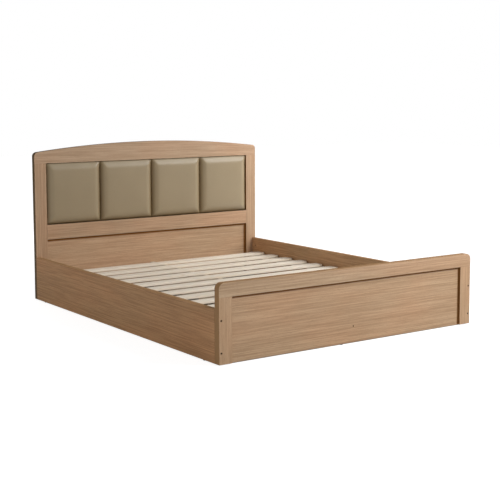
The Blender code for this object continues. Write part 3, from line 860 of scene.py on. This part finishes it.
def under_bed_mask(tree):
    """1 on the floor below the bed, where the painted shade goes, 0 outside it."""
    stage = bpy.context.scene.bed_stage
    parts = place_parts(tree)
    across, along = parts["X"], parts["Y"]
    (left, foot, _), (right, head, _) = cad_box
    near = stage.near_shade_start
    inside = 1.0
    for first, second, start in ((across, left, near), (along, foot, near),
                                 (right, across, 0.0), (head, along, 0.0)):
        depth = math_node(tree, "SUBTRACT", first, second)
        inside = math_node(tree, "MULTIPLY", inside, ramp(tree, depth, start, start + stage.shade_edge))
    return inside


def floor_finish():
    """A pale floor that the camera sees as white, but for the bed's shadow on it and a painted shade colour
    below the bed.
    """
    stage = bpy.context.scene.bed_stage
    material = bpy.data.materials.new("studio_floor")
    material.use_nodes = True
    tree = material.node_tree
    tree.nodes.clear()
    out = add(tree, "ShaderNodeOutputMaterial")
    rays = add(tree, "ShaderNodeLightPath")
    matt = add(tree, "ShaderNodeBsdfDiffuse", {"Color": (*stage.floor, 1.0)})
    softened = [part * stage.shadow for part in stage.floor]
    soft = add(tree, "ShaderNodeBsdfDiffuse", {"Color": (*softened, 1.0)})
    # Painted shade: the camera sees this darker colour on the floor below the bed
    painted_under_shade = add(tree, "ShaderNodeBsdfDiffuse", {"Color": (*stage.under_bed_shade_colour, 1.0)})
    glow = add(tree, "ShaderNodeEmission", {"Color": (*WHITE, 1.0)})
    place = add(tree, "ShaderNodeTexCoord")
    away = add(tree, "ShaderNodeVectorMath", operation="LENGTH")
    link(tree, place.outputs["Object"], away.inputs[0])
    far = ramp(tree, away.outputs["Value"], stage.glow_reach, stage.glow_reach * 2)
    link(tree, scaled(tree, far, by=1.0 - stage.glow, plus=stage.glow), glow.inputs["Strength"])
    bright = add(tree, "ShaderNodeAddShader")
    link(tree, soft.outputs[0], bright.inputs[0])
    link(tree, glow.outputs[0], bright.inputs[1])
    seen = add(tree, "ShaderNodeMixShader")
    link(tree, under_bed_mask(tree), seen.inputs[0])
    link(tree, bright.outputs[0], seen.inputs[1])
    link(tree, painted_under_shade.outputs[0], seen.inputs[2])
    choice = add(tree, "ShaderNodeMixShader")
    link(tree, rays.outputs["Is Camera Ray"], choice.inputs[0])
    link(tree, matt.outputs[0], choice.inputs[1])
    link(tree, seen.outputs[0], choice.inputs[2])
    link(tree, choice.outputs[0], out.inputs["Surface"])
    return material


def make_floor():
    """The plain studio floor, which isn't part of the bed."""
    stage = bpy.context.scene.bed_stage
    form = bmesh.new()
    bmesh.ops.create_grid(form, x_segments=1, y_segments=1, size=stage.floor_size / 2)
    piece_from(form, "studio_floor", floor_finish())


def make_sky():
    """Even light from all round, behind a background that the camera sees as white."""
    stage = bpy.context.scene.bed_stage
    world = bpy.data.worlds.new("studio")
    bpy.context.scene.world = world
    world.use_nodes = True
    tree = world.node_tree
    tree.nodes.clear()
    out = add(tree, "ShaderNodeOutputWorld")
    rays = add(tree, "ShaderNodeLightPath")
    light = add(tree, "ShaderNodeBackground", {"Color": (*WHITE, 1.0), "Strength": stage.sky})
    white = add(tree, "ShaderNodeBackground", {"Color": (*WHITE, 1.0), "Strength": 1.0})
    direct = math_node(tree, "MAXIMUM", rays.outputs["Is Camera Ray"], rays.outputs["Is Transmission Ray"])
    choice = add(tree, "ShaderNodeMixShader")
    link(tree, direct, choice.inputs[0])
    link(tree, light.outputs[0], choice.inputs[1])
    link(tree, white.outputs[0], choice.inputs[2])
    link(tree, choice.outputs[0], out.inputs["Surface"])


def make_lamp(name, compass, height, distance, size, strength):
    """A square soft light aimed at the bed; compass runs from +X towards the foot end."""
    lamp = bpy.data.lights.new(name, "AREA")
    lamp.shape = "SQUARE"
    lamp.size = size
    lamp.energy = strength
    thing = bpy.data.objects.new(name, lamp)
    bpy.context.scene.collection.objects.link(thing)
    turn, rise = math.radians(compass), math.radians(height)
    away = Vector((math.cos(turn) * math.cos(rise), -math.sin(turn) * math.cos(rise), math.sin(rise)))
    thing.location = Vector(LAMP_AIM) + away * distance
    thing.rotation_euler = away.to_track_quat("Z", "Y").to_euler()
    return thing


def make_lamps():
    """All the lamps: one only shows as a shine, and the others only light matt colour."""
    stage = bpy.context.scene.bed_stage
    for name, compass, height, distance, size, setting in LAMPS:
        lamp = make_lamp(name, compass, height, distance, size, getattr(stage, setting))
        lamp.visible_glossy = name == SHINE_LAMP
        lamp.visible_diffuse = name != SHINE_LAMP


def make_camera():
    """The photograph's view."""
    ahead = Vector((math.sin(CAMERA_YAW), math.cos(CAMERA_YAW), 0.0))
    right = Vector((math.cos(CAMERA_YAW), -math.sin(CAMERA_YAW), 0.0))
    up = Vector((0.0, 0.0, 1.0))
    look = ahead * math.cos(CAMERA_PITCH) - up * math.sin(CAMERA_PITCH)
    head = up * math.cos(CAMERA_PITCH) + ahead * math.sin(CAMERA_PITCH)
    side = right * math.cos(CAMERA_ROLL) - head * math.sin(CAMERA_ROLL)
    top = right * math.sin(CAMERA_ROLL) + head * math.cos(CAMERA_ROLL)
    data = bpy.data.cameras.new("photo_camera")
    data.sensor_width = SENSOR_MM
    data.lens = FOCAL_PIXELS * SENSOR_MM / PHOTO_PIXELS
    middle = PHOTO_PIXELS / 2
    data.shift_x = (middle - PHOTO_CENTRE[0]) / PHOTO_PIXELS
    data.shift_y = (PHOTO_CENTRE[1] - middle) / PHOTO_PIXELS
    thing = bpy.data.objects.new("photo_camera", data)
    bpy.context.scene.collection.objects.link(thing)
    turn = Matrix((side, top, -look)).transposed().to_4x4()
    thing.matrix_world = Matrix.Translation(CAMERA_PLACE) @ turn
    bpy.context.scene.camera = thing


class BED_OT_build_stage(Operator):
    """Pale floor, white surroundings, soft studio lights and the photograph's camera"""
    bl_idname = "bed.build_stage"
    bl_label = "Build stage"

    def execute(self, context):
        stage = context.scene.bed_stage
        context.scene.view_settings.view_transform = "Standard"
        make_floor()
        make_sky()
        make_lamps()
        make_camera()
        return {"FINISHED"}


class BED_PT_panel(Panel):
    bl_idname = "BED_PT_panel"
    bl_label = "Double bed frame"
    bl_space_type = "VIEW_3D"
    bl_region_type = "UI"
    bl_category = "Bed"

    def draw(self, context):
        for group, title in (("bed_wood", "Wood"), ("bed_fittings", "Fittings"), ("bed_pads", "Pads"),
                             ("bed_stage", "Stage")):
            box = self.layout.box()
            box.label(text=title)
            settings = getattr(context.scene, group)
            for name in settings.__annotations__:
                box.prop(settings, name)
        for operator in OPERATORS:
            self.layout.operator(operator.bl_idname)


SETTINGS = (BedWoodSettings, BedFittingSettings, BedPadSettings, BedStageSettings)
OPERATORS = (BED_OT_dress_headboard, BED_OT_make_pads, BED_OT_dress_footboard, BED_OT_dress_side_rails,
             BED_OT_dress_slats, BED_OT_dress_fasteners, BED_OT_build_stage)
CLASSES = SETTINGS + OPERATORS + (BED_PT_panel,)


def register():
    for item in CLASSES:
        bpy.utils.register_class(item)
    bpy.types.Scene.bed_wood = PointerProperty(type=BedWoodSettings)
    bpy.types.Scene.bed_fittings = PointerProperty(type=BedFittingSettings)
    bpy.types.Scene.bed_pads = PointerProperty(type=BedPadSettings)
    bpy.types.Scene.bed_stage = PointerProperty(type=BedStageSettings)


def unregister():
    del bpy.types.Scene.bed_stage
    del bpy.types.Scene.bed_pads
    del bpy.types.Scene.bed_fittings
    del bpy.types.Scene.bed_wood
    for item in reversed(CLASSES):
        bpy.utils.unregister_class(item)


def main():
    register()
    bpy.ops.bed.dress_headboard()
    bpy.ops.bed.make_pads()
    bpy.ops.bed.dress_footboard()
    bpy.ops.bed.dress_side_rails()
    bpy.ops.bed.dress_slats()
    bpy.ops.bed.dress_fasteners()
    bpy.ops.bed.build_stage()


if __name__ == "__main__":
    main()
